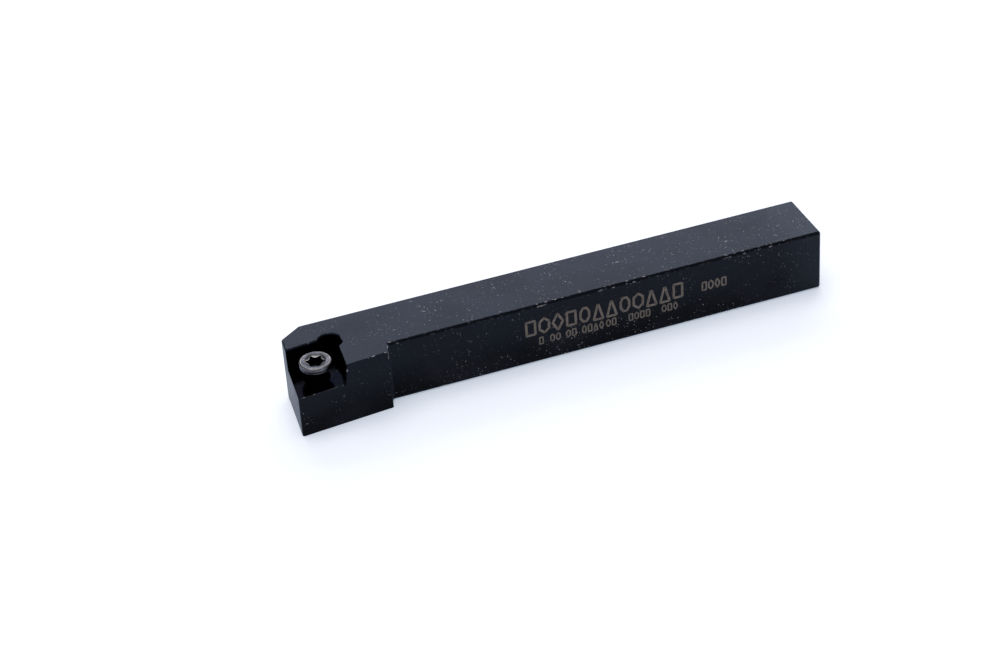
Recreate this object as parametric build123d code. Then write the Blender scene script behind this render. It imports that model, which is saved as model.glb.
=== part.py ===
# Right-hand turning tool holder with a square shank, an insert pocket and its clamp screw, in millimetres.
# +X runs from the cutting end to the tail, +Y to the back face of the shank and +Z up.
# The origin is on the base, on the shank's centre line, half the overall length behind the cutting corner.
import os
from math import cos, radians, sin, sqrt, tan

from build123d import *

# Shank
overall_length = 100.0  # cutting corner to tail
shank_width = 12.0
shank_height = 12.0
edge_chamfer = 0.35  # on the four long edges
tail_chamfer = 0.3  # round the tail face

# Head, in plan
corner_offset = 16.0  # back face to cutting corner
approach_angle = 95.0  # cutting edge to the direction of feed along the shank's axis
head_length = 18.0  # cutting corner to the foot of the step
step_angle = 17.0  # lean of the step from square
step_fillet = 0.5
back_cut_length = 6.0  # cutting corner's plane to the end of the cut-off back corner
back_cut_angle = 35.0
chamfer_run_in = 0.1  # how far the shank's edge chamfers run into the step

# Body under the cutting edges
end_setback = 0.45  # end face behind the cutting edge
side_setback = 0.25  # side face behind the trailing edge
side_relief = 1.0
nose_radius = 0.4

# Insert that the pocket is made for: an 80 degree rhombus with sides that lean in towards its base
insert_angle = 80.0
inscribed_circle = 9.525
insert_thickness = 3.97
insert_clearance = 7.0

# Pocket
corner_relief_radius = 2.0
relief_inset_end = 1.26  # centre of the corner relief, in from the end stop wall
relief_inset_back = 0.92  # and in from the back wall
relief_ear_reach = 0.93  # the relief's ear, out past the end stop wall
relief_ear_drop = 2.54  # and along that wall from the pocket's inner corner
relief_ear_slope = 7.0
groove_width = 0.4  # clearance groove along the foot of the end stop wall
groove_depth = 0.25
mouth_bevel = 0.2  # on the upright edge where the end stop wall meets the side face

# Clamp screw
thread_diameter = 4.0
screw_length = 10.0
screw_proud = 3.5  # top of the head above the seat while no insert is in
screw_pull = 0.1  # how far the thread stands off the insert's centre, towards the inner corner
thread_clearance = 0.05
hole_chamfer = 0.3
head_diameter = 5.6
head_band = 0.97  # straight side of the head
head_crown = 0.1  # rise of the shoulder above that side
head_shoulder = 0.25  # width of that shoulder
head_cone_angle = 60.0
screw_tip_chamfer = 0.45
socket_rim = 3.72  # diameter of the socket's mouth
socket_lip_depth = 0.1  # straight wall under that rim
socket_lead_angle = 15.0  # fall of the lead-in cone from the lip to the hollows
socket_points = 3.4  # across the six lobes
socket_flats = 2.45  # across the six hollows between them
socket_lobes = 6
socket_lobe_radius = 0.28
socket_depth = 1.75
socket_turn = -18.0  # how far round the screw stands

# Room that a cutting tool shape stands past the face it cuts
over = 2.0

# Places that several features share
tip = Vector(-overall_length / 2, shank_width / 2 - corner_offset)
tail_x = overall_length / 2
near_y = -shank_width / 2
back_y = shank_width / 2
end_turn = 180 - approach_angle
side_turn = end_turn - insert_angle
along_end = Vector(cos(radians(end_turn)), sin(radians(end_turn)))
along_side = Vector(cos(radians(side_turn)), sin(radians(side_turn)))
into_end = Vector(along_end.Y, -along_end.X)
into_side = Vector(-along_side.Y, along_side.X)
seat_z = shank_height - insert_thickness
wall_lean = tan(radians(insert_clearance))


def crossing(point_a, direction_a, point_b, direction_b):
    """Where two lines in plan cross."""
    gap = point_b - point_a
    spread = direction_a.X * direction_b.Y - direction_a.Y * direction_b.X
    step = (gap.X * direction_b.Y - gap.Y * direction_b.X) / spread
    return point_a + direction_a * step


def pocket_corner(z):
    """The pocket's inner corner at a height: its walls stand at the insert's far sides."""
    reach = inscribed_circle - (shank_height - z) * wall_lean
    end_wall = tip + into_end * reach
    back_wall = tip + into_side * reach
    return crossing(end_wall, along_end, back_wall, along_side)


insert_centre = tip + (pocket_corner(shank_height) - tip) * 0.5
screw_axis = insert_centre + (pocket_corner(shank_height) - tip).normalized() * screw_pull


def prism(corners, bottom, top):
    """A straight solid over an outline in plan."""
    outline = make_face(Polyline(*[(corner.X, corner.Y) for corner in corners], close=True))
    return extrude(Plane.XY.offset(bottom) * outline, amount=top - bottom)


def edge_at(solid, x, y, z):
    """The edge whose middle lies nearest to a point."""
    place = Vector(x, y, z)
    return min(solid.edges(), key=lambda edge: (edge @ 0.5 - place).length)


def head_and_shank():
    """The bar with its cut-back head, before the pocket."""
    end_line = tip + into_end * end_setback
    side_line = tip + into_side * side_setback
    step_foot = Vector(tip.X + head_length, near_y)
    step_line = Vector(sin(radians(step_angle)), cos(radians(step_angle)))
    back_cut_end = Vector(tip.X + back_cut_length, back_y)
    back_cut_line = Vector(cos(radians(back_cut_angle)), sin(radians(back_cut_angle)))
    nose = crossing(end_line, along_end, side_line, along_side)
    corners = [
        nose,
        crossing(side_line, along_side, step_foot, step_line),
        step_foot,
        Vector(tail_x, near_y),
        Vector(tail_x, back_y),
        back_cut_end,
        crossing(end_line, along_end, back_cut_end, back_cut_line),
    ]
    bar = prism(corners, 0, shank_height)

    # The side face leans in towards the base.
    lean = (shank_height + over) * tan(radians(side_relief))
    across = Plane(origin=nose - along_side * over, x_dir=into_side, z_dir=along_side)
    wedge = Polyline((-over, -over), (lean, -over), (0, shank_height), (-over, shank_height), close=True)
    bar -= extrude(across * make_face(wedge), amount=head_length + 2 * over)

    bar = fillet(edge_at(bar, nose.X, nose.Y, shank_height / 2), nose_radius)
    return fillet(edge_at(bar, step_foot.X, step_foot.Y, shank_height / 2), step_fillet)


def long_edge_chamfers():
    """The cuts that take the corners off the shank's long edges, from the step or the cut-off corner on."""
    cuts = []
    for side, start in ((-1, tip.X + head_length - chamfer_run_in), (1, tip.X)):
        for z in (0, shank_height):
            corner = Pos(start, side * shank_width / 2, z) * Rot(X=45)
            size = edge_chamfer * sqrt(2)
            length = tail_x - start + over
            cuts.append(corner * Box(length, size, size, align=(Align.MIN, Align.CENTER, Align.CENTER)))
    return cuts


def corner_relief():
    """The round clearance in the pocket's inner corner, with its pointed ear along the end stop wall."""
    end_wall = tip + into_end * (inscribed_circle - relief_inset_end)
    back_wall = tip + into_side * (inscribed_circle - relief_inset_back)
    centre = crossing(end_wall, along_end, back_wall, along_side)
    slope = radians(relief_ear_slope)
    start = centre + (along_end * sin(slope) + into_end * cos(slope)) * corner_relief_radius
    point = pocket_corner(shank_height) - along_end * relief_ear_drop + into_end * relief_ear_reach
    inside = point - (along_end + into_end) * (relief_ear_reach + relief_inset_end)
    bottom = seat_z - groove_depth
    height = shank_height + over - bottom
    round_part = Cylinder(corner_relief_radius, height, align=(Align.CENTER, Align.CENTER, Align.MIN))
    ear = prism([centre, start, point, inside], bottom, bottom + height)
    return Pos(centre.X, centre.Y, bottom) * round_part + ear


def insert_seat():
    """The rhombic recess for the insert: two walls that lean out with height and two open sides."""
    corner = pocket_corner(seat_z)
    past = inscribed_circle / sin(radians(insert_angle)) + over
    open_end = corner - along_side * past
    open_side = corner - along_end * past
    corners = [corner, open_end, open_end - along_end * past, open_side]
    outline = make_face(Polyline(*[(point.X, point.Y) for point in corners], close=True))
    depth = shank_height + over - seat_z
    return extrude(Plane.XY.offset(seat_z) * outline, amount=depth, taper=-insert_clearance)


def stop_groove():
    """The clearance groove in the floor, along the foot of the end stop wall."""
    corner = pocket_corner(seat_z)
    open_side = corner - along_end * (inscribed_circle / sin(radians(insert_angle)) + over)
    across = into_end * -groove_width
    corners = [corner, open_side, open_side + across, corner + across]
    return prism(corners, seat_z - groove_depth, seat_z + groove_depth)


def tapped_hole():
    """The through hole for the clamp screw, bevelled at both mouths."""
    radius = thread_diameter / 2 + thread_clearance
    mouth = radius + hole_chamfer
    profile = Polyline(
        (0, -over),
        (mouth, -over),
        (mouth, 0),
        (radius, hole_chamfer),
        (radius, seat_z - hole_chamfer),
        (mouth, seat_z),
        (mouth, seat_z + over),
        (0, seat_z + over),
        close=True,
    )
    hole = revolve(Plane.XZ * make_face(profile), Axis.Z)
    return Pos(screw_axis.X, screw_axis.Y, 0) * hole


def holder_body():
    """The one milled piece: shank, head and pocket."""
    body = head_and_shank() - long_edge_chamfers()
    tail = body.faces().sort_by(Axis.X)[-1]
    body = chamfer(tail.edges(), tail_chamfer)
    body -= insert_seat() + corner_relief()
    side_line = tip + into_side * side_setback
    end_wall = tip + into_end * (inscribed_circle - insert_thickness / 2 * wall_lean)
    mouth = crossing(side_line, along_side, end_wall, along_end)
    body = chamfer(edge_at(body, mouth.X, mouth.Y, seat_z + insert_thickness / 2), mouth_bevel)
    return body - stop_groove() - tapped_hole()


def socket_outline():
    """The six-lobed outline of the key socket: round lobes joined by tangent hollows."""
    lobe_reach = socket_points / 2 - socket_lobe_radius
    hollow = socket_flats / 2
    half_pitch = 180 / socket_lobes
    cosine = cos(radians(half_pitch))
    excess = lobe_reach**2 + hollow**2 - 2 * lobe_reach * hollow * cosine - socket_lobe_radius**2
    hollow_radius = excess / (2 * (lobe_reach * cosine + socket_lobe_radius - hollow))
    lobe_centre = Vector(lobe_reach, 0)
    hollow_centre = Vector(hollow + hollow_radius, 0).rotate(Axis.Z, half_pitch)
    touch = lobe_centre + (hollow_centre - lobe_centre).normalized() * socket_lobe_radius
    mirrored = Vector(touch.X, -touch.Y)
    lobe = ThreePointArc(mirrored, (socket_points / 2, 0), touch)
    waist = Vector(hollow, 0).rotate(Axis.Z, half_pitch)
    between = ThreePointArc(touch, waist, mirrored.rotate(Axis.Z, 2 * half_pitch))
    arcs = [Rot(Z=2 * half_pitch * turn) * arc for turn in range(socket_lobes) for arc in (lobe, between)]
    return make_face(arcs)


def clamp_screw():
    """The insert screw: crowned head with a six-lobed socket, cone and plain-modelled thread."""
    top = seat_z + screw_proud
    head = head_diameter / 2
    shaft = thread_diameter / 2
    cone_height = (head - shaft) / tan(radians(head_cone_angle / 2))
    band_top = top - head_crown
    band_foot = band_top - head_band
    tip_z = top - screw_length
    profile = make_face(
        Polyline(
            (0, tip_z),
            (shaft - screw_tip_chamfer, tip_z),
            (shaft, tip_z + screw_tip_chamfer),
            (shaft, band_foot - cone_height),
            (head, band_foot),
            (head, band_top),
            (head - head_shoulder, top),
            (0, top),
            close=True,
        )
    )
    blank = revolve(Plane.XZ * profile, Axis.Z)
    rim = socket_rim / 2
    hollow = socket_flats / 2
    lead_depth = (rim - hollow) * tan(radians(socket_lead_angle))
    lip_foot = top - socket_lip_depth
    blank -= extrude(Plane.XY.offset(lip_foot) * Circle(rim), amount=socket_lip_depth)
    blank -= Pos(0, 0, lip_foot - lead_depth / 2) * Cone(hollow, rim, lead_depth)
    blank -= extrude(Plane.XY.offset(top - socket_depth) * socket_outline(), amount=socket_depth)
    return Pos(screw_axis.X, screw_axis.Y, 0) * Rot(Z=socket_turn) * blank


os.makedirs("parts", exist_ok=True)
pieces = {"holder_body": holder_body(), "clamp_screw": clamp_screw()}
for name, solid in pieces.items():
    export_step(solid, f"parts/{name}.step")
print("screw axis at", screw_axis, "insert centre at", insert_centre, "seat height", seat_z)
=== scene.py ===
import math

import bmesh
import bpy
from mathutils import Matrix, Vector


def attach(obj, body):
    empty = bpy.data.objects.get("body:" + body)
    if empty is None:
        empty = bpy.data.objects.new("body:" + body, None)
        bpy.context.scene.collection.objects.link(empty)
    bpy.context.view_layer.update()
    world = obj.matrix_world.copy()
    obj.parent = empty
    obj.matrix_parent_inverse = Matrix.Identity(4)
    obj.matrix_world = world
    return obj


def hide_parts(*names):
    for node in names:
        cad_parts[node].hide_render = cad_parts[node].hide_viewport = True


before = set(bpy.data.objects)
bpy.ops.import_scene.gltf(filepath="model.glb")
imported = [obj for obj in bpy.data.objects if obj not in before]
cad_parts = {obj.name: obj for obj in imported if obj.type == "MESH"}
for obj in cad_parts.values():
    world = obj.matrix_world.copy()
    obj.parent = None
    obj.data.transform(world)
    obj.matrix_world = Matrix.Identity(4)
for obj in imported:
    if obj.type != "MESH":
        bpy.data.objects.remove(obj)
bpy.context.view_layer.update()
print("frame loaded")

mm = 0.001
scene = bpy.context.scene


def hexColour(text):
    # sRGB hex to the linear colour that shaders work in
    parts = [int(text[i:i + 2], 16) / 255 for i in (1, 3, 5)]
    return [p / 12.92 if p <= 0.04045 else ((p + 0.055) / 1.055) ** 2.4 for p in parts] + [1.0]


def addNode(tree, kind, inputs=None, **settings):
    # one node with its settings; an input is a value or the socket that feeds it
    node = tree.nodes.new(kind)
    for name, value in settings.items():
        setattr(node, name, value)
    for name, value in (inputs or {}).items():
        if isinstance(value, bpy.types.NodeSocket):
            tree.links.new(value, node.inputs[name])
        else:
            node.inputs[name].default_value = value
    return node


def newMaterial(name):
    material = bpy.data.materials.new(name)
    material.use_nodes = True
    material.node_tree.nodes.clear()
    return material, material.node_tree


def noiseMask(tree, place, patch, detail=2.0, seed=0.0, least=0.0):
    # soft patches: their size, the noise under which the mask is `least` and the noise over which it is 1
    size, low, high = patch
    noise = addNode(tree, "ShaderNodeTexNoise", {"Vector": place, "W": seed, "Scale": 1 / size, "Detail": detail},
                    noise_dimensions="4D")
    ramp = addNode(tree, "ShaderNodeMapRange", {"Value": noise.outputs["Fac"], "From Min": low, "From Max": high,
                                                "To Min": least}, interpolation_type="SMOOTHSTEP")
    return ramp.outputs["Result"]


def flecks(tree, place, kind, dustiness, seed, turn=(0, 0, 0)):
    # specks of dust: a share of the cells has one, most at full strength, and from half the radius up to all of
    # it; stretch draws them out into fibres along the turned X axis, and the seed shifts the cells
    cell, radius, share, strength, stretch = kind
    share *= dustiness
    mapping = addNode(tree, "ShaderNodeMapping", {"Vector": place, "Location": (seed, seed * 0.7, seed * 1.3),
                                                  "Rotation": [math.radians(angle) for angle in turn],
                                                  "Scale": (1 / stretch, 1, 1)})
    cells = addNode(tree, "ShaderNodeTexVoronoi", {"Vector": mapping.outputs[0], "Scale": 1 / cell})
    lot = addNode(tree, "ShaderNodeSeparateColor", {"Color": cells.outputs["Color"]})
    chosen = addNode(tree, "ShaderNodeMapRange", {"Value": lot.outputs[0], "From Min": 1 - share,
                                                  "From Max": 1 - 0.6 * share, "To Max": strength})
    reach = addNode(tree, "ShaderNodeMapRange", {"Value": lot.outputs[1], "To Min": 0.5 * radius / cell,
                                                 "To Max": radius / cell})
    ratio = addNode(tree, "ShaderNodeMath", {0: cells.outputs["Distance"], 1: reach.outputs["Result"]},
                    operation="DIVIDE")
    speck = addNode(tree, "ShaderNodeMapRange", {"Value": ratio.outputs[0], "From Min": 1.0, "From Max": 0.5,
                                                 "To Max": chosen.outputs["Result"]})
    return speck.outputs["Result"]


blackOxide = {
    # the film at the base, darkened as painted shade, at the top, in patches of a browner cast and by the tail, paled
    # as painted light
    "filmPaintedShadeBase": "#0a0b0d",
    "filmHigh": "#15181e",
    "filmCast": "#16171c",
    "filmPaintedLightTail": "#1d2127",
    # heights and X that those changes run between, and the patches' size and noise
    "paintedShadeRun": (1.5 * mm, 9 * mm),
    "paintedLightRun": (40 * mm, 50 * mm),
    "castPatch": (11 * mm, 0.42, 0.66),
    "lowAngle": (0.84, 0.88, 1.0, 1.0),
    "pocketLowAngle": (0.34, 0.31, 0.28, 1.0),
    "endLowAngle": (0.56, 0.60, 0.68, 1.0),
    # a dull veil of oil and fine powder, which shows where nothing bright is mirrored
    "veil": 0.022,
    "veilTint": "#c8d4ea",
    # roughness against the finish's own, where the cast is least and most, and the roughness of dust
    "smoothest": 0.92,
    "roughest": 1.12,
    "dustRoughness": 0.7,
    # width of the tool marks, what they're drawn out by along X, Y and Z, and their strength; real ones are a
    # tenth as wide and wouldn't show
    "groundLay": (0.22 * mm, (9, 1, 1), 0.16),
    "milledLay": (0.45 * mm, (1, 1, 5), 0.7),
    # depth of those marks against their width
    "layDepth": 0.1,
    "dust": "#c6c2c4",
    "rustDust": "#a08c80",
    "rustPatch": (1.2 * mm, 0.6, 0.64),
    # each kind's cell, largest radius, share of the cells that hold one, strength and stretch; real dust is finer
    # and wouldn't show
    "dot": (0.6 * mm, 0.11 * mm, 0.65, 1.0, 1.0),
    "powder": (0.38 * mm, 0.075 * mm, 0.6, 0.7, 1.0),
    "fibre": (0.75 * mm, 0.065 * mm, 0.9, 0.75, 7.0),
    # two turns lie in the flats, two in the sides and one across both
    "fibreTurns": ((0, 0, 35), (0, 0, -58), (0, 40, 0), (0, -62, 8), (20, 12, 75)),
    # how far the fibres sway from straight, and over what length
    "bend": 0.9 * mm,
    "swayLength": 1.5 * mm,
    "dustCluster": (4 * mm, 0.43, 0.62),
    # X from which the dust thickens and X from which it is whole, and its share before that
    "dustRun": (-36 * mm, -6 * mm, 0.5),
    # heights between which it thins up the sides and its share there, and heights between which the flats start
    "footRun": (2 * mm, 7 * mm, 0.4),
    "flatRun": (11.7 * mm, 11.9 * mm),
}


def filmWithPaintedShading(tree, spot, patches):
    # painted shade darkens it towards the base and painted light pales it towards the tail
    base, top = blackOxide["paintedShadeRun"]
    height = addNode(tree, "ShaderNodeMapRange", {"Value": spot["Z"], "From Min": base, "From Max": top},
                     interpolation_type="SMOOTHSTEP")
    start, whole = blackOxide["paintedLightRun"]
    tail = addNode(tree, "ShaderNodeMapRange", {"Value": spot["X"], "From Min": start, "From Max": whole},
                   interpolation_type="SMOOTHSTEP")
    colour = hexColour(blackOxide["filmPaintedShadeBase"])
    for share, name in ((height.outputs[0], "filmHigh"), (patches, "filmCast"), (tail.outputs[0], "filmPaintedLightTail")):
        mixed = addNode(tree, "ShaderNodeMix", {0: share, 6: colour, 7: hexColour(blackOxide[name])},
                        data_type="RGBA")
        colour = mixed.outputs[2]
    return colour


def dustMask(tree, place, spot, dustiness):
    sway = addNode(tree, "ShaderNodeTexNoise", {"Vector": place, "Scale": 1 / blackOxide["swayLength"],
                                                "Detail": 0.0})
    bent = addNode(tree, "ShaderNodeVectorMath", {0: sway.outputs["Color"], 1: [blackOxide["bend"]] * 3, 2: place},
                   operation="MULTIPLY_ADD")
    marks = flecks(tree, place, blackOxide["dot"], dustiness, 0.011)
    layers = [flecks(tree, place, blackOxide["powder"], dustiness, 0.023)]
    for number, turn in enumerate(blackOxide["fibreTurns"]):
        layers.append(flecks(tree, bent.outputs[0], blackOxide["fibre"], dustiness, 0.031 + 0.013 * number, turn))
    for layer in layers:
        marks = addNode(tree, "ShaderNodeMath", {0: marks, 1: layer}, operation="MAXIMUM").outputs[0]
    # it comes in clusters, lies on the flats and gathers by the foot of the sides
    clusters = noiseMask(tree, place, blackOxide["dustCluster"], detail=4.0, seed=4.0, least=0.1)
    thin, thick, fewest = blackOxide["dustRun"]
    along = addNode(tree, "ShaderNodeMapRange", {"Value": spot["X"], "From Min": thin, "From Max": thick,
                                                 "To Min": fewest})
    low, high, fewest = blackOxide["footRun"]
    foot = addNode(tree, "ShaderNodeMapRange", {"Value": spot["Z"], "From Min": low, "From Max": high,
                                                "To Min": 1.0, "To Max": fewest})
    low, high = blackOxide["flatRun"]
    flat = addNode(tree, "ShaderNodeMapRange", {"Value": spot["Z"], "From Min": low, "From Max": high})
    level = addNode(tree, "ShaderNodeMath", {0: foot.outputs[0], 1: flat.outputs[0]}, operation="MAXIMUM")
    for share in (clusters, along.outputs[0], level.outputs[0]):
        marks = addNode(tree, "ShaderNodeMath", {0: marks, 1: share}, operation="MULTIPLY").outputs[0]
    return marks


def blackOxideSteel(name, dustiness, veil, roughness, lowAngle, lay):
    # steel with an oiled black oxide film: nearly black, a cold sheen at low angles, pale dust caught in the oil
    material, tree = newMaterial(name)
    place = addNode(tree, "ShaderNodeTexCoord").outputs["Object"]
    spot = addNode(tree, "ShaderNodeSeparateXYZ", {0: place}).outputs
    patches = noiseMask(tree, place, blackOxide["castPatch"], detail=3.0)
    # the film's colour carries painted shade towards the base and painted light towards the tail
    film = filmWithPaintedShading(tree, spot, patches)
    dust = dustMask(tree, place, spot, dustiness)
    rusty = noiseMask(tree, place, blackOxide["rustPatch"], seed=11.0)
    tone = addNode(tree, "ShaderNodeMix", {0: rusty, 6: hexColour(blackOxide["dust"]),
                                           7: hexColour(blackOxide["rustDust"])}, data_type="RGBA")
    colour = addNode(tree, "ShaderNodeMix", {0: dust, 6: film, 7: tone.outputs[2]}, data_type="RGBA")
    bare = addNode(tree, "ShaderNodeMath", {0: 1.0, 1: dust}, operation="SUBTRACT")
    smooth = addNode(tree, "ShaderNodeMapRange", {"Value": patches, "To Min": roughness * blackOxide["smoothest"],
                                                  "To Max": roughness * blackOxide["roughest"]})
    rough = addNode(tree, "ShaderNodeMix", {0: dust, 2: smooth.outputs[0], 3: blackOxide["dustRoughness"]})
    width, drawnOut, strength = lay
    marked = addNode(tree, "ShaderNodeMapping", {"Vector": place, "Scale": [1 / part for part in drawnOut]})
    grain = addNode(tree, "ShaderNodeTexNoise", {"Vector": marked.outputs[0], "Scale": 1 / width, "Detail": 3.0})
    bump = addNode(tree, "ShaderNodeBump", {"Height": grain.outputs["Fac"], "Strength": strength,
                                            "Distance": width * blackOxide["layDepth"]})
    shader = addNode(tree, "ShaderNodeBsdfPrincipled", {
        "Base Color": colour.outputs[2], "Metallic": bare.outputs[0], "Roughness": rough.outputs[0],
        "Specular Tint": lowAngle, "Sheen Weight": veil, "Sheen Roughness": 1.0,
        "Sheen Tint": hexColour(blackOxide["veilTint"]), "Normal": bump.outputs[0],
    })
    addNode(tree, "ShaderNodeOutputMaterial", {"Surface": shader.outputs[0]})
    return material


wornEdge = {
    "runLength": 0.8 * mm,
    "runSoftness": 0.1,
    # noise between which a zone with such runs starts and is whole, and how much shows outside them
    "zoneStart": 0.5,
    "zoneWhole": 0.56,
    "strayShare": 0.15,
    "roughness": 0.4,
}


def wornEdgeSteel(name, film, bare, start, zone):
    # the film is rubbed through to bare steel in short runs along an edge, here and there about a zone apart;
    # start is the noise at which a run begins, so that a lower one wears more
    material, tree = newMaterial(name)
    place = addNode(tree, "ShaderNodeTexCoord").outputs["Object"]
    runs = noiseMask(tree, place, (wornEdge["runLength"], start, start + wornEdge["runSoftness"]), detail=3.0,
                     seed=7.0)
    zones = noiseMask(tree, place, (zone, wornEdge["zoneStart"], wornEdge["zoneWhole"]), seed=3.0,
                      least=wornEdge["strayShare"])
    worn = addNode(tree, "ShaderNodeMath", {0: runs, 1: zones}, operation="MULTIPLY")
    colour = addNode(tree, "ShaderNodeMix", {0: worn.outputs[0], 6: hexColour(film), 7: hexColour(bare)},
                     data_type="RGBA")
    shader = addNode(tree, "ShaderNodeBsdfPrincipled", {
        "Base Color": colour.outputs[2], "Metallic": 1.0, "Roughness": wornEdge["roughness"],
        "Specular Tint": blackOxide["lowAngle"],
    })
    addNode(tree, "ShaderNodeOutputMaterial", {"Surface": shader.outputs[0]})
    return material


screwFilm = {
    "patch": (0.7 * mm, 0.35, 0.7),
    # roughness of a rubbed patch against the film's
    "rubbed": 0.75,
    "grain": 0.12 * mm,
    "grainHeight": 0.01 * mm,
    "grainStrength": 0.15,
}


def screwSteel(name, film, rubbed, roughness):
    # a screw's thin grey film, rubbed smoother and paler in small patches
    material, tree = newMaterial(name)
    place = addNode(tree, "ShaderNodeTexCoord").outputs["Object"]
    patches = noiseMask(tree, place, screwFilm["patch"], detail=4.0, seed=2.0)
    colour = addNode(tree, "ShaderNodeMix", {0: patches, 6: hexColour(film), 7: hexColour(rubbed)},
                     data_type="RGBA")
    rough = addNode(tree, "ShaderNodeMapRange", {"Value": patches, "To Min": roughness,
                                                 "To Max": roughness * screwFilm["rubbed"]})
    grain = addNode(tree, "ShaderNodeTexNoise", {"Vector": place, "Scale": 1 / screwFilm["grain"], "Detail": 3.0})
    bump = addNode(tree, "ShaderNodeBump", {"Height": grain.outputs["Fac"], "Strength": screwFilm["grainStrength"],
                                            "Distance": screwFilm["grainHeight"]})
    shader = addNode(tree, "ShaderNodeBsdfPrincipled", {
        "Base Color": colour.outputs[2], "Metallic": 1.0, "Roughness": rough.outputs[0],
        "Specular Tint": blackOxide["lowAngle"], "Normal": bump.outputs[0],
    })
    addNode(tree, "ShaderNodeOutputMaterial", {"Surface": shader.outputs[0]})
    return material


def etchedOxide(name, pale, dark):
    # laser marking: the film burned to a dull brown-grey, a little uneven
    material, tree = newMaterial(name)
    place = addNode(tree, "ShaderNodeTexCoord").outputs["Object"]
    patches = noiseMask(tree, place, (0.7 * mm, 0.3, 0.75), detail=4.0, seed=9.0)
    colour = addNode(tree, "ShaderNodeMix", {0: patches, 6: hexColour(pale), 7: hexColour(dark)}, data_type="RGBA")
    shader = addNode(tree, "ShaderNodeBsdfPrincipled", {"Base Color": colour.outputs[2], "Roughness": 0.75,
                                                        "Specular IOR Level": 0.2})
    addNode(tree, "ShaderNodeOutputMaterial", {"Surface": shader.outputs[0]})
    return material


materials = {
    # ground along the bar: satin black that mirrors a blurred lamp, with dust all over
    "body": blackOxideSteel("groundBlackOxide", dustiness=1.0, veil=blackOxide["veil"], roughness=0.27,
                            lowAngle=blackOxide["lowAngle"], lay=blackOxide["groundLay"]),
    # milled fine and thick with oil: the deepest black, with a dim warm mirror and hardly any dust
    "pocket": blackOxideSteel("pocketBlackOxide", dustiness=0.35, veil=0.0, roughness=0.16,
                              lowAngle=blackOxide["pocketLowAngle"], lay=blackOxide["groundLay"]),
    # milled up and down: mid grey at low angles, with faint upright streaks
    "end": blackOxideSteel("milledBlackOxide", dustiness=0.8, veil=blackOxide["veil"], roughness=0.3,
                           lowAngle=blackOxide["endLowAngle"], lay=blackOxide["milledLay"]),
    # deburred edges: the film's own black with grey glints here and there
    "edge": wornEdgeSteel("wornEdgeSteel", blackOxide["filmHigh"], "#7e7c81", 0.521, 12 * mm),
    # edges rubbed by inserts: dull brownish grey breaks close together
    "rubbed": wornEdgeSteel("rubbedEdgeSteel", blackOxide["filmPaintedLightTail"], "#6f6867", 0.47, 2 * mm),
    # the bevel round the pocket: a thin blue-grey line
    "rim": wornEdgeSteel("pocketRimSteel", "#20252d", "#474c57", 0.56, 2 * mm),
    # phosphated: soft mid grey with a blurred glint
    "screw": screwSteel("phosphatedScrewSteel", "#42434a", "#5c5d63", 0.36),
    # the same film made pale and brighter, as painted highlights on the head's edges and the socket's lead-in
    "paintedHighlight": screwSteel("paintedHighlightScrewSteel", "#6e6d6c", "#98958f", 0.3),
    # close to black: painted shade on the thread, under the head, round the band and in the socket
    "thread": screwSteel("paintedShadeScrewSteel", "#101013", "#1c1c20", 0.35),
    # burned film: matt brownish grey, as pale from any side
    "etch": etchedOxide("etchedOxide", "#8b827b", "#6e6661"),
}
print("materials made")


def newPiece(name, mesh, body, slot, *replaced):
    piece = bpy.data.objects.new(name, mesh)
    scene.collection.objects.link(piece)
    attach(piece, body)
    if replaced:
        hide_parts(*replaced)
    return piece


def meshFrom(tool, name, finishes):
    mesh = bpy.data.meshes.new(name)
    tool.to_mesh(mesh)
    tool.free()
    for finish in finishes:
        mesh.materials.append(materials[finish])
    return mesh


def newCarrier(mesh):
    carrier = bpy.data.objects.new("carrier", mesh)
    scene.collection.objects.link(carrier)
    return carrier


def plainMesh(carrier, modifier):
    # what the modifier makes of the carrier's mesh; the carrier goes, and its mesh gives its name to the new one
    evaluated = carrier.evaluated_get(bpy.context.evaluated_depsgraph_get())
    mesh = bpy.data.meshes.new_from_object(evaluated)
    source, name = carrier.data, carrier.data.name
    carrier.modifiers.remove(modifier)
    bpy.data.objects.remove(carrier)
    bpy.data.meshes.remove(source)
    mesh.name = name
    return mesh


def weightNormals(mesh):
    # flat faces stay flat beside their small round edges
    carrier = newCarrier(mesh)
    modifier = carrier.modifiers.new("weight", "WEIGHTED_NORMAL")
    modifier.keep_sharp = True
    return plainMesh(carrier, modifier)


def newTree(name, sizes, counts):
    # a Geometry Nodes tree with an input for each size and count, and one for the material
    tree = bpy.data.node_groups.new(name, "GeometryNodeTree")
    tree.interface.new_socket("Geometry", in_out="OUTPUT", socket_type="NodeSocketGeometry")
    for kind, titles in (("NodeSocketFloat", sizes), ("NodeSocketInt", counts), ("NodeSocketMaterial", ["Material"])):
        for title in titles:
            tree.interface.new_socket(title, in_out="INPUT", socket_type=kind)
    return tree, addNode(tree, "NodeGroupInput").outputs


def endTree(tree, geometry, material):
    real = addNode(tree, "GeometryNodeRealizeInstances", {"Geometry": geometry})
    coloured = addNode(tree, "GeometryNodeSetMaterial", {"Geometry": real.outputs[0], "Material": material})
    addNode(tree, "NodeGroupOutput", {0: coloured.outputs[0]})
    return tree


def grownMesh(name, tree, values):
    # runs a node tree on an empty mesh and hands back plain geometry
    carrier = newCarrier(bpy.data.meshes.new(name))
    modifier = carrier.modifiers.new("grow", "NODES")
    modifier.node_group = tree
    for item in tree.interface.items_tree:
        if item.in_out == "INPUT" and item.name in values:
            modifier[item.identifier] = values[item.name]
    return plainMesh(carrier, modifier)


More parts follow.
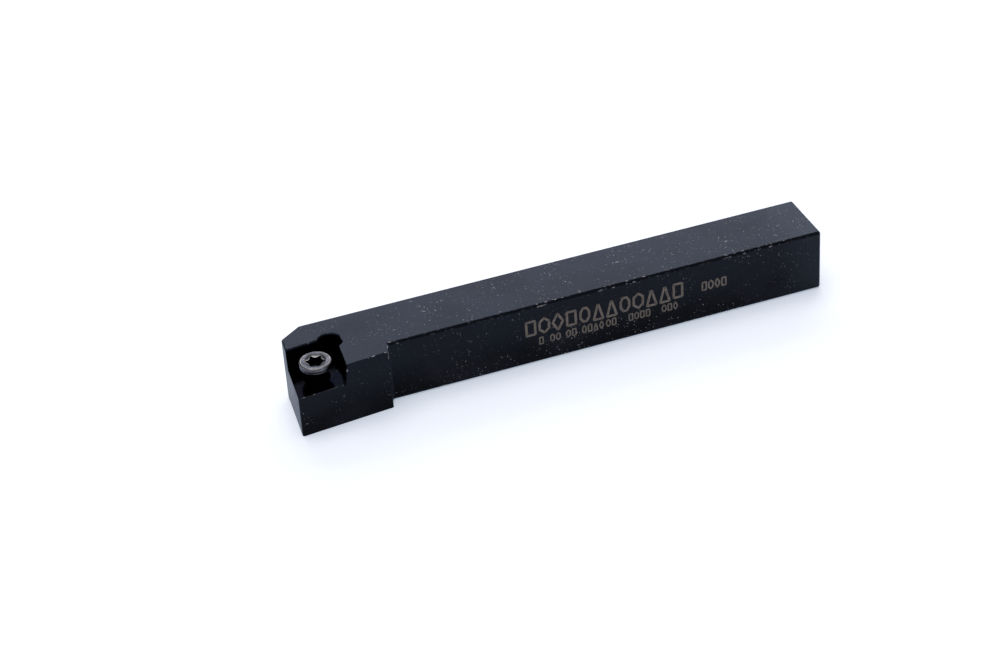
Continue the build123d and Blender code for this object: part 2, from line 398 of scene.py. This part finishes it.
# Holder body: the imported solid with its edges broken, as a deburred bar has them
holder = {
    "top": 12.0 * mm,
    "seat": 8.03 * mm,
    "chamferFoot": 11.65 * mm,
    # X and Y that the top edge of the pocket's back wall and of its round corner relief lies within
    "rimX": (-48.6 * mm, -38.86 * mm),
    "rimY": (-0.5 * mm, 2.0 * mm),
    # X and Y that the pocket ends at, and those past which its seat is open
    "pocketEnd": (-38.0 * mm, 2.4 * mm),
    "openPast": (-48.6 * mm, -8.7 * mm),
    "screwHoleReach": 3.0 * mm,
    "rimBevel": 0.2 * mm,
    "edgeBreak": 0.09 * mm,
    "longEdgeBreak": 0.12 * mm,
    "sharpOver": math.radians(35),
    "smoothUnder": math.radians(33),
    # shortest edge that is broken, and shortest that counts as a long one
    "shortest": 0.3 * mm,
    "longFrom": 5 * mm,
    "levelWithin": 0.01 * mm,
    "finishes": ("body", "pocket", "edge", "rubbed", "rim", "end"),
}
screwAxis = Vector((-44.6902, -4.6902, 0.0)) * mm


def edgeMiddle(edge):
    return (edge.verts[0].co + edge.verts[1].co) / 2


def isLevel(edge, height):
    return all(abs(vert.co.z - height) < holder["levelWithin"] for vert in edge.verts)


def isRim(edge):
    middle = edgeMiddle(edge)
    fromX, toX = holder["rimX"]
    fromY, toY = holder["rimY"]
    inPlace = fromX < middle.x < toX and fromY < middle.y < toY
    return isLevel(edge, holder["top"]) and inPlace and edge.calc_face_angle(0) > holder["sharpOver"]


def isLongEdge(edge):
    # the lower edges of the shank's two top chamfers
    return isLevel(edge, holder["chamferFoot"]) and edge.calc_length() > holder["longFrom"]


def isSharp(edge):
    # outer corners only; the hole's mouth under the screw keeps its own bevel
    fromScrew = (edgeMiddle(edge) - screwAxis).xy.length
    turned = edge.is_convex and edge.calc_face_angle(0) > holder["sharpOver"]
    return turned and edge.calc_length() > holder["shortest"] and fromScrew > holder["screwHoleReach"]


def holderFinish(face):
    # index of the face's finish by where it lies; new faces come in with that of their edge
    middle = face.calc_center_median()
    finish = holder["finishes"][face.material_index]
    endX, endY = holder["pocketEnd"]
    openX, openY = holder["openPast"]
    byPocket = middle.x < endX and middle.y < endY
    if finish == "body":
        if byPocket and holder["seat"] - 0.3 * mm < middle.z < holder["top"] - 0.3 * mm:
            finish = "pocket"
        elif face.normal.x < -0.9:
            finish = "end"
    elif finish == "edge" and byPocket and middle.z > holder["seat"] - 0.1 * mm:
        # inserts slid on and off wear the seat's open edges; the pocket's other edges keep their film
        inside = openX < middle.x and openY < middle.y
        if inside:
            finish = "rim"
        elif abs(middle.z - holder["seat"]) < 0.06 * mm:
            finish = "rubbed"
    return holder["finishes"].index(finish)


def buildHolder():
    tool = bmesh.new()
    tool.from_mesh(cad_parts["holder_body"].data)
    # doubles, slivers and the lines across flat faces go first, so that only real edges are broken
    bmesh.ops.remove_doubles(tool, verts=tool.verts, dist=0.001 * mm)
    bmesh.ops.dissolve_degenerate(tool, dist=0.02 * mm, edges=tool.edges)
    bmesh.ops.dissolve_limit(tool, angle_limit=math.radians(0.5), verts=tool.verts, edges=tool.edges)
    # a name, which edges, and their bevel's width, segments, roundness and finish
    for name, chosen, width, segments, profile, finish in (
        ("rim", isRim, holder["rimBevel"], 1, 0.5, "rim"),
        ("long", isLongEdge, holder["longEdgeBreak"], 1, 0.5, "edge"),
        ("sharp", isSharp, holder["edgeBreak"], 2, 0.6, "edge"),
    ):
        edges = [edge for edge in tool.edges if chosen(edge)]
        bmesh.ops.bevel(tool, geom=edges, offset=width, offset_type="OFFSET", segments=segments, profile=profile,
                        affect="EDGES", clamp_overlap=False, material=holder["finishes"].index(finish))
        print("holder", name, "edges broken", len(edges))
    for vert in tool.verts:
        # a bevel's rounding mustn't reach past the solid's top
        vert.co.z = min(vert.co.z, holder["top"])
    tool.normal_update()
    for face in tool.faces:
        face.smooth = True
        face.material_index = holderFinish(face)
    for edge in tool.edges:
        edge.smooth = edge.calc_face_angle(0) < holder["smoothUnder"]
    mesh = weightNormals(meshFrom(tool, "holderBody", holder["finishes"]))
    return newPiece("holderBody", mesh, "holder", "holder_steel", "holder_body")


holderBody = buildHolder()
print("holder body built", len(holderBody.data.polygons), "faces")

# Clamp screw: an insert screw with a six-lobed socket, made as rings round its axis
screw = {
    # heights in the holder
    "top": 11.53 * mm,
    "threadTop": 8.2 * mm,
    "tip": 1.53 * mm,
    "headRadius": 2.8 * mm,
    "shoulder": 0.25 * mm,
    "crown": 0.1 * mm,
    "band": 0.97 * mm,
    # a line of painted shade round the band, between these heights over its foot
    "bandShadeLine": (0.18 * mm, 0.45 * mm),
    "coneTurn": math.radians(30),
    "coneFootRadius": 2.0 * mm,
    "neckRadius": 1.98 * mm,
    "major": 1.99 * mm,
    "threadDepth": 0.43 * mm,
    "pitch": 0.7 * mm,
    "runout": 0.8 * mm,
    "tipChamfer": 0.45 * mm,
    # the socket's mouth, its lip and its lead-in cone, whose inner part is pale over this share of its width as a
    # painted highlight
    "mouth": 1.86 * mm,
    "lip": 0.1 * mm,
    "leadAngle": math.radians(15),
    "leadHighlight": 0.35,
    # radius to the points and to the hollows between them, and the points' own
    "points": 1.7 * mm,
    "flats": 1.225 * mm,
    "lobe": 0.28 * mm,
    "socketDepth": 1.75 * mm,
    "socketCone": 0.35 * mm,
    "socketTurn": math.radians(-18),
    "round": 0.05 * mm,
    "fine": 0.015 * mm,
    "around": 180,
    "threadAround": 72,
    "threadRows": 190,
    "smoothUnder": math.radians(40),
    "finishes": ("screw", "thread", "paintedHighlight"),
}


def lobedRadius(angle, inset):
    # the socket's outline in polar form: round lobes joined by tangent hollows
    lobe = screw["lobe"] - inset
    reach = screw["points"] - screw["lobe"]
    half = math.pi / 6
    excess = reach ** 2 + screw["flats"] ** 2 - 2 * reach * screw["flats"] * math.cos(half) - screw["lobe"] ** 2
    hollow = excess / (2 * (reach * math.cos(half) + screw["lobe"] - screw["flats"]))
    centre = screw["flats"] + hollow
    touch = math.atan2(centre * math.sin(half), centre * math.cos(half) - reach)
    limit = math.atan2(lobe * math.sin(touch), reach + lobe * math.cos(touch))
    turn = abs((angle + half) % (2 * half) - half)
    if turn <= limit:
        return reach * math.cos(turn) + math.sqrt(max(lobe ** 2 - (reach * math.sin(turn)) ** 2, 0))
    bend = hollow + inset
    off = half - turn
    return centre * math.cos(off) - math.sqrt(max(bend ** 2 - (centre * math.sin(off)) ** 2, 0))


def ringStack(tool, rings):
    # a ring is its height, its radius and the finish up to the next ring; a radius may depend on the angle,
    # and a height on the radius
    around = screw["around"]
    rows = []
    for height, radius, finish in rings:
        row = []
        for step in range(around):
            angle = 2 * math.pi * step / around
            size = radius(angle) if callable(radius) else radius
            level = height(size) if callable(height) else height
            row.append(tool.verts.new((size * math.cos(angle), size * math.sin(angle), level)))
        rows.append(row)
    for low, high, ring in zip(rows, rows[1:], rings):
        for step in range(around):
            after = (step + 1) % around
            face = tool.faces.new((low[step], low[after], high[after], high[step]))
            face.material_index = screw["finishes"].index(ring[2])
    return rows


def closeRow(tool, row, height, upwards):
    centre = tool.verts.new((0, 0, height))
    for step, vert in enumerate(row):
        after = row[(step + 1) % len(row)]
        face = tool.faces.new((vert, after, centre) if upwards else (after, vert, centre))
        face.material_index = screw["finishes"].index("thread")


def threadTree():
    # a round bar whose surface is pushed out along a helix; every size is an input
    tree, given = newTree("screwThread", ("Root Radius", "Ridge Depth", "Pitch", "Bottom", "Top", "Tip Chamfer",
                                          "Neck Radius", "Runout"), ("Around", "Rows"))
    spot = addNode(tree, "ShaderNodeSeparateXYZ", {0: addNode(tree, "GeometryNodeInputPosition").outputs[0]})
    known = {socket.name: socket for socket in given if socket.name}
    known.update(zip("xyz", spot.outputs))
    # each step is a name, an operation and its terms: a number, a given size or an earlier step
    steps = (
        ("length", "SUBTRACT", "Top", "Bottom"),
        ("lift", "MULTIPLY_ADD", "length", 0.5, "Bottom"),
        ("angle", "ARCTAN2", "y", "x"),
        ("turn", "DIVIDE", "angle", 2 * math.pi),
        ("rise", "DIVIDE", "z", "Pitch"),
        ("wound", "SUBTRACT", "rise", "turn"),
        ("phase", "FRACT", "wound"),
        ("swing", "MULTIPLY_ADD", "phase", 2.0, -1.0),
        ("slope", "ABSOLUTE", "swing"),
        # flats of an eighth of the pitch on the crest and a quarter at the root
        ("flank", "MULTIPLY_ADD", "slope", -1.6, 1.2),
        ("flank", "MAXIMUM", "flank", 0.0),
        ("ridge", "MINIMUM", "flank", 1.0),
        ("threaded", "MULTIPLY_ADD", "ridge", "Ridge Depth", "Root Radius"),
        # the thread runs out into the neck
        ("below", "SUBTRACT", "Top", "z"),
        ("fade", "DIVIDE", "below", "Runout"),
        ("fade", "MINIMUM", "fade", 1.0),
        ("deeper", "SUBTRACT", "threaded", "Neck Radius"),
        ("blended", "MULTIPLY_ADD", "deeper", "fade", "Neck Radius"),
        # the chamfer at the tip cuts the first turn down
        ("climb", "SUBTRACT", "z", "Bottom"),
        ("full", "ADD", "Root Radius", "Ridge Depth"),
        ("tipRadius", "SUBTRACT", "full", "Tip Chamfer"),
        ("chamfer", "ADD", "climb", "tipRadius"),
        ("radius", "MINIMUM", "blended", "chamfer"),
        ("grow", "DIVIDE", "radius", "Root Radius"),
        ("outX", "MULTIPLY", "x", "grow"),
        ("outY", "MULTIPLY", "y", "grow"),
    )
    for name, operation, *terms in steps:
        inputs = {place: known.get(term, term) for place, term in enumerate(terms)}
        known[name] = addNode(tree, "ShaderNodeMath", inputs, operation=operation).outputs[0]
    bar = addNode(tree, "GeometryNodeMeshCylinder", {"Vertices": given["Around"], "Side Segments": given["Rows"],
                                                     "Radius": given["Root Radius"], "Depth": known["length"]})
    lift = addNode(tree, "ShaderNodeCombineXYZ", {"Z": known["lift"]})
    raised = addNode(tree, "GeometryNodeSetPosition", {"Geometry": bar.outputs["Mesh"], "Offset": lift.outputs[0]})
    outward = addNode(tree, "ShaderNodeCombineXYZ", {"X": known["outX"], "Y": known["outY"], "Z": known["z"]})
    shaped = addNode(tree, "GeometryNodeSetPosition", {"Geometry": raised.outputs[0],
                                                       "Position": outward.outputs[0]})
    return endTree(tree, shaped.outputs[0], given["Material"])


def screwRings():
    # from the neck up over the head and down into the socket
    top, neck, head, mouth = screw["top"], screw["neckRadius"], screw["headRadius"], screw["mouth"]
    small, fine = screw["round"], screw["fine"]
    flat = head - screw["shoulder"]
    shoulderTop = top - screw["crown"]
    bandFoot = shoulderTop - screw["band"]
    lineFoot, lineTop = screw["bandShadeLine"]
    coneFoot = bandFoot - (head - screw["coneFootRadius"]) / math.tan(screw["coneTurn"])
    lipFoot = top - screw["lip"]
    floor = top - screw["socketDepth"]

    def lobes(inset):
        return lambda angle: lobedRadius(angle - screw["socketTurn"], inset)

    def between(share):
        return lambda angle: mouth * share + lobedRadius(angle - screw["socketTurn"], 0) * (1 - share)

    def onCone(drop):
        return lambda size: lipFoot - (mouth - size) * math.tan(screw["leadAngle"]) - drop

    return [
        # painted shade: the thread's top, the neck and the cone under the head are near black
        (screw["threadTop"] - 0.3 * mm, neck - 0.3 * mm, "thread"),  # hidden in the top of the thread
        (screw["threadTop"] - fine, neck, "thread"),
        (coneFoot - small, neck, "thread"),
        (coneFoot, neck + fine, "thread"),
        (coneFoot + small, neck + 0.04 * mm, "thread"),  # cone
        # painted highlight: a pale ring round the band's foot
        (bandFoot - small, head - small, "paintedHighlight"),
        (bandFoot, head - fine, "paintedHighlight"),
        (bandFoot + small, head, "screw"),  # band
        # painted shade: a dark ring across the band
        (bandFoot + lineFoot, head, "thread"),
        (bandFoot + lineTop, head, "screw"),
        # painted highlights: pale rings on the shoulder's edges
        (shoulderTop - small, head, "paintedHighlight"),
        (shoulderTop - fine, head - fine, "paintedHighlight"),
        (shoulderTop + fine, head - small, "screw"),  # shoulder
        (top - fine, flat + small, "paintedHighlight"),
        (top, flat - small, "screw"),  # flat top
        # painted highlight: a pale ring round the socket's mouth
        (top, mouth + small, "paintedHighlight"),
        (top - fine, mouth + fine, "paintedHighlight"),
        # painted shade: the lip is near black
        (top - small, mouth, "thread"),  # lip
        (lipFoot + fine, mouth, "thread"),
        (onCone(0), mouth - fine, "screw"),  # lead-in cone
        # painted highlight: the inner part of the lead-in cone is pale
        (onCone(0), between(screw["leadHighlight"]), "paintedHighlight"),
        (onCone(0), lobes(-2 * fine), "paintedHighlight"),
        # painted shade: the socket inside is near black
        (onCone(0.01 * mm), lobes(-fine / 2), "thread"),  # socket
        (onCone(0.035 * mm), lobes(0), "thread"),
        (floor + fine, lobes(0), "thread"),
        (floor, lobes(small), "thread"),
    ]


def buildScrew():
    tool = bmesh.new()
    rings = screwRings()
    rows = ringStack(tool, rings)
    closeRow(tool, rows[0], rings[0][0], False)
    closeRow(tool, rows[-1], rings[-1][0] - screw["socketCone"], True)
    bmesh.ops.recalc_face_normals(tool, faces=tool.faces)
    headFaces = len(tool.faces)
    thread = grownMesh("screwThread", threadTree(), {
        "Root Radius": screw["major"] - screw["threadDepth"], "Ridge Depth": screw["threadDepth"],
        "Pitch": screw["pitch"], "Bottom": screw["tip"], "Top": screw["threadTop"],
        "Tip Chamfer": screw["tipChamfer"], "Neck Radius": screw["neckRadius"] - 0.01 * mm,
        "Runout": screw["runout"], "Around": screw["threadAround"], "Rows": screw["threadRows"],
        "Material": materials["thread"],
    })
    tool.from_mesh(thread)
    bpy.data.meshes.remove(thread)
    tool.faces.ensure_lookup_table()
    for face in tool.faces[headFaces:]:
        face.material_index = screw["finishes"].index("thread")
    for face in tool.faces:
        face.smooth = True
    for edge in tool.edges:
        edge.smooth = edge.calc_face_angle(0) < screw["smoothUnder"]
    for vert in tool.verts:
        vert.co += screwAxis
    mesh = weightNormals(meshFrom(tool, "clampScrew", screw["finishes"]))
    return newPiece("clampScrew", mesh, "screw", "screw_steel", "clamp_screw")


clampScrew = buildScrew()
print("clamp screw built", len(clampScrew.data.polygons), "faces")

# Marking on the near side: rows of plain outlined shapes, burned into the film
marking = {
    "face": -6.0 * mm,
    "depth": 0.03 * mm,
    # in mm: middle height, shape height and width, line width, step from shape to shape, and groups by the middle
    # of their first shape and their count
    "rows": {
        "largeMarks": (7.45, 3.25, 2.1, 0.46, 2.545, ((-6.05, 12),)),
        "smallMarks": (4.4, 1.6, 0.92, 0.27, 1.1, ((-4.2, 1), (-2.1, 2), (0.9, 2), (3.9, 4), (8.5, 2), (12.8, 4),
                                                 (19.2, 3))),
        "endMarks": (6.9, 1.95, 1.08, 0.32, 1.27, ((27.05, 4),)),
    },
    # corners, radius against the height, turn that stands the shape upright, width against the others, and drop
    # against the height
    "shapes": ((4, 0.707, 45, 1.0, 0), (3, 0.8, 90, 0.8, 0.2), (6, 0.54, 90, 1.15, 0), (4, 0.62, 0, 0.95, 0),
               (8, 0.541, 22.5, 1.0, 0)),
    # corner radius against the line's width, and its segments
    "cornerShare": 0.25,
    "cornerSegments": 3,
    "firstSeed": 3,
}


def markTree():
    # a straight row of outlined polygons; which shape stands where is drawn by lot from a fixed seed
    tree, given = newTree("markRow", ("Spacing", "Height", "Width", "Line Width", "Depth"), ("Count", "Seed"))
    step = addNode(tree, "ShaderNodeCombineXYZ", {"X": given["Spacing"]})
    row = addNode(tree, "GeometryNodeMeshLine", {"Count": given["Count"], "Offset": step.outputs[0]}, mode="OFFSET")
    pen = addNode(tree, "GeometryNodeCurvePrimitiveQuadrilateral", {"Width": given["Line Width"],
                                                                   "Height": given["Depth"]})
    tall = addNode(tree, "ShaderNodeMath", {0: given["Height"], 1: given["Line Width"]}, operation="SUBTRACT")
    wide = addNode(tree, "ShaderNodeMath", {0: given["Width"], 1: given["Line Width"]}, operation="SUBTRACT")
    slim = addNode(tree, "ShaderNodeMath", {0: wide.outputs[0], 1: tall.outputs[0]}, operation="DIVIDE")
    corner = addNode(tree, "ShaderNodeMath", {0: given["Line Width"], 1: marking["cornerShare"]},
                     operation="MULTIPLY")
    shapes = addNode(tree, "GeometryNodeGeometryToInstance")
    for corners, share, turn, broad, drop in marking["shapes"]:
        radius = addNode(tree, "ShaderNodeMath", {0: tall.outputs[0], 1: share}, operation="MULTIPLY")
        ring = addNode(tree, "GeometryNodeCurvePrimitiveCircle", {"Resolution": corners,
                                                                  "Radius": radius.outputs[0]}, mode="RADIUS")
        upright = addNode(tree, "GeometryNodeTransform", {"Geometry": ring.outputs["Curve"],
                                                          "Rotation": (0, 0, math.radians(turn))})
        squeeze = addNode(tree, "ShaderNodeMath", {0: slim.outputs[0], 1: broad}, operation="MULTIPLY")
        scale = addNode(tree, "ShaderNodeCombineXYZ", {"X": squeeze.outputs[0], "Y": 1.0, "Z": 1.0})
        sink = addNode(tree, "ShaderNodeMath", {0: tall.outputs[0], 1: -drop}, operation="MULTIPLY")
        lower = addNode(tree, "ShaderNodeCombineXYZ", {"Y": sink.outputs[0]})
        thin = addNode(tree, "GeometryNodeTransform", {"Geometry": upright.outputs[0], "Scale": scale.outputs[0],
                                                       "Translation": lower.outputs[0]})
        soft = addNode(tree, "GeometryNodeFilletCurve", {"Curve": thin.outputs[0], "Radius": corner.outputs[0],
                                                         "Count": marking["cornerSegments"]}, mode="POLY")
        line = addNode(tree, "GeometryNodeCurveToMesh", {"Curve": soft.outputs[0],
                                                         "Profile Curve": pen.outputs["Curve"]})
        tree.links.new(line.outputs["Mesh"], shapes.inputs[0])
    # sockets 4 and 5 are the least and the greatest whole number, and output 2 is the one drawn
    lot = addNode(tree, "FunctionNodeRandomValue", {4: 0, 5: len(marking["shapes"]) - 1, "Seed": given["Seed"]},
                  data_type="INT")
    spread = addNode(tree, "GeometryNodeInstanceOnPoints", {"Points": row.outputs["Mesh"],
                                                            "Instance": shapes.outputs[0], "Pick Instance": True,
                                                            "Instance Index": lot.outputs[2]})
    return endTree(tree, spread.outputs[0], given["Material"])


def buildMarks():
    tree = markTree()
    for name, (height, tall, wide, line, step, groups) in marking["rows"].items():
        tool = bmesh.new()
        for seed, (first, count) in enumerate(groups, marking["firstSeed"]):
            mesh = grownMesh(name, tree, {
                "Spacing": step * mm, "Height": tall * mm, "Width": wide * mm, "Line Width": line * mm,
                "Depth": marking["depth"], "Count": count, "Seed": seed, "Material": materials["etch"],
            })
            # a group is drawn flat, then stood up on the near side and moved to its place
            place = Vector((first * mm, marking["face"], height * mm))
            mesh.transform(Matrix.Translation(place) @ Matrix.Rotation(math.pi / 2, 4, "X"))
            tool.from_mesh(mesh)
            bpy.data.meshes.remove(mesh)
        for face in tool.faces:
            face.material_index = 0
        newPiece(name, meshFrom(tool, name, ["etch"]), "holder", "holder_steel")


buildMarks()
print("marking built")

# Studio: a pale table, one broad soft lamp behind that the top face mirrors, one overhead and a dim even room
studio = {
    "room": "#dfe6f2",
    "roomStrength": 0.33,
    "table": "#ececee",
    "seenTable": (0.80, 0.77, 0.77, 1.0),
    "tableGlow": (0.74, 0.85, 1.0, 1.0),
    "glowStrength": 0.47,
    "tableReach": 3.0,
    # keeps the table from flickering through the tool's base
    "tableGap": 0.02 * mm,
    "lampTint": (1.0, 0.985, 0.97),
    # place, width, height and radiance
    "lamps": {
        "softbox": ((0.3, 0.85, 0.62), 1.1, 0.5, 2.87),
        "overhead": ((-0.1, 0.15, 1.2), 1.0, 1.0, 2.6),
    },
}


def paleTable():
    # the camera and glossy steel see the shaded table lifted to white, with its shadow kept; it's one-sided, so
    # that the tool's underside shows from below
    material, tree = newMaterial("paleTable")
    rays = addNode(tree, "ShaderNodeLightPath").outputs
    seen = addNode(tree, "ShaderNodeMath", {0: rays["Is Camera Ray"], 1: rays["Is Glossy Ray"]},
                   operation="MAXIMUM")
    mirrored = addNode(tree, "ShaderNodeMath", {0: seen.outputs[0], 1: rays["Is Transmission Ray"]},
                       operation="MAXIMUM")
    plain = addNode(tree, "ShaderNodeBsdfDiffuse", {"Color": hexColour(studio["table"])})
    glow = addNode(tree, "ShaderNodeEmission", {"Color": studio["tableGlow"], "Strength": studio["glowStrength"]})
    lit = addNode(tree, "ShaderNodeBsdfDiffuse", {"Color": studio["seenTable"]})
    lifted = addNode(tree, "ShaderNodeAddShader", {0: lit.outputs[0], 1: glow.outputs[0]})
    mixed = addNode(tree, "ShaderNodeMixShader", {0: mirrored.outputs[0], 1: plain.outputs[0],
                                                  2: lifted.outputs[0]})
    side = addNode(tree, "ShaderNodeNewGeometry")
    clear = addNode(tree, "ShaderNodeBsdfTransparent")
    oneSided = addNode(tree, "ShaderNodeMixShader", {0: side.outputs["Backfacing"], 1: mixed.outputs[0],
                                                     2: clear.outputs[0]})
    addNode(tree, "ShaderNodeOutputMaterial", {"Surface": oneSided.outputs[0]})
    return material


def buildTable():
    mesh = bpy.data.meshes.new("table")
    reach = studio["tableReach"]
    level = -studio["tableGap"]
    corners = [(-reach, -reach, level), (reach, -reach, level), (reach, reach, level), (-reach, reach, level)]
    mesh.from_pydata(corners, [], [(0, 1, 2, 3)])
    mesh.materials.append(paleTable())
    table = bpy.data.objects.new("table", mesh)
    scene.collection.objects.link(table)


def buildRoom():
    world = bpy.data.worlds.new("room")
    world.use_nodes = True
    tree = world.node_tree
    tree.nodes.clear()
    sky = addNode(tree, "ShaderNodeBackground", {"Color": hexColour(studio["room"]),
                                                 "Strength": studio["roomStrength"]})
    addNode(tree, "ShaderNodeOutputWorld", {"Surface": sky.outputs[0]})
    scene.world = world


def buildLamps():
    for name, (place, width, height, radiance) in studio["lamps"].items():
        lamp = bpy.data.lights.new(name, "AREA")
        lamp.shape = "RECTANGLE"
        lamp.size = width
        lamp.size_y = height
        lamp.energy = radiance * math.pi * width * height
        lamp.color = studio["lampTint"]
        fitting = bpy.data.objects.new(name, lamp)
        scene.collection.objects.link(fitting)
        aim = Vector(place).to_track_quat("Z", "Y").to_matrix().to_4x4()
        fitting.matrix_world = Matrix.Translation(place) @ aim


camera = {
    # viewing angle, from a fit of the bar's edges to the photograph
    "target": Vector((-9.68964, 0.0, 3.64921)) * mm,
    "back": Vector((-0.2568470, -0.7826012, 0.5670670)),
    "up": Vector((0.2434925, 0.5154226, 0.8216149)),
    "distance": 459.18168 * mm,
    "lens": 93.49177,
    "sensor": 36.0,
    # half a pixel of a frame 1000 wide, because the photograph's edges were measured at pixel centres
    "halfPixel": 0.0005,
    # nearest and farthest that it sees
    "clip": (0.01, 20.0),
}


def buildCamera():
    back = camera["back"].normalized()
    right = camera["up"].cross(back).normalized()
    up = back.cross(right)
    lens = bpy.data.cameras.new("camera")
    lens.lens = camera["lens"]
    lens.sensor_width = camera["sensor"]
    lens.sensor_fit = "HORIZONTAL"
    lens.shift_x = -camera["halfPixel"]
    lens.shift_y = camera["halfPixel"]
    lens.clip_start, lens.clip_end = camera["clip"]
    shot = bpy.data.objects.new("camera", lens)
    scene.collection.objects.link(shot)
    eye = camera["target"] + back * camera["distance"]
    shot.matrix_world = Matrix.Translation(eye) @ Matrix((right, up, back)).transposed().to_4x4()
    scene.camera = shot


buildTable()
buildRoom()
buildLamps()
buildCamera()
scene.view_settings.view_transform = "Standard"
print("studio built")
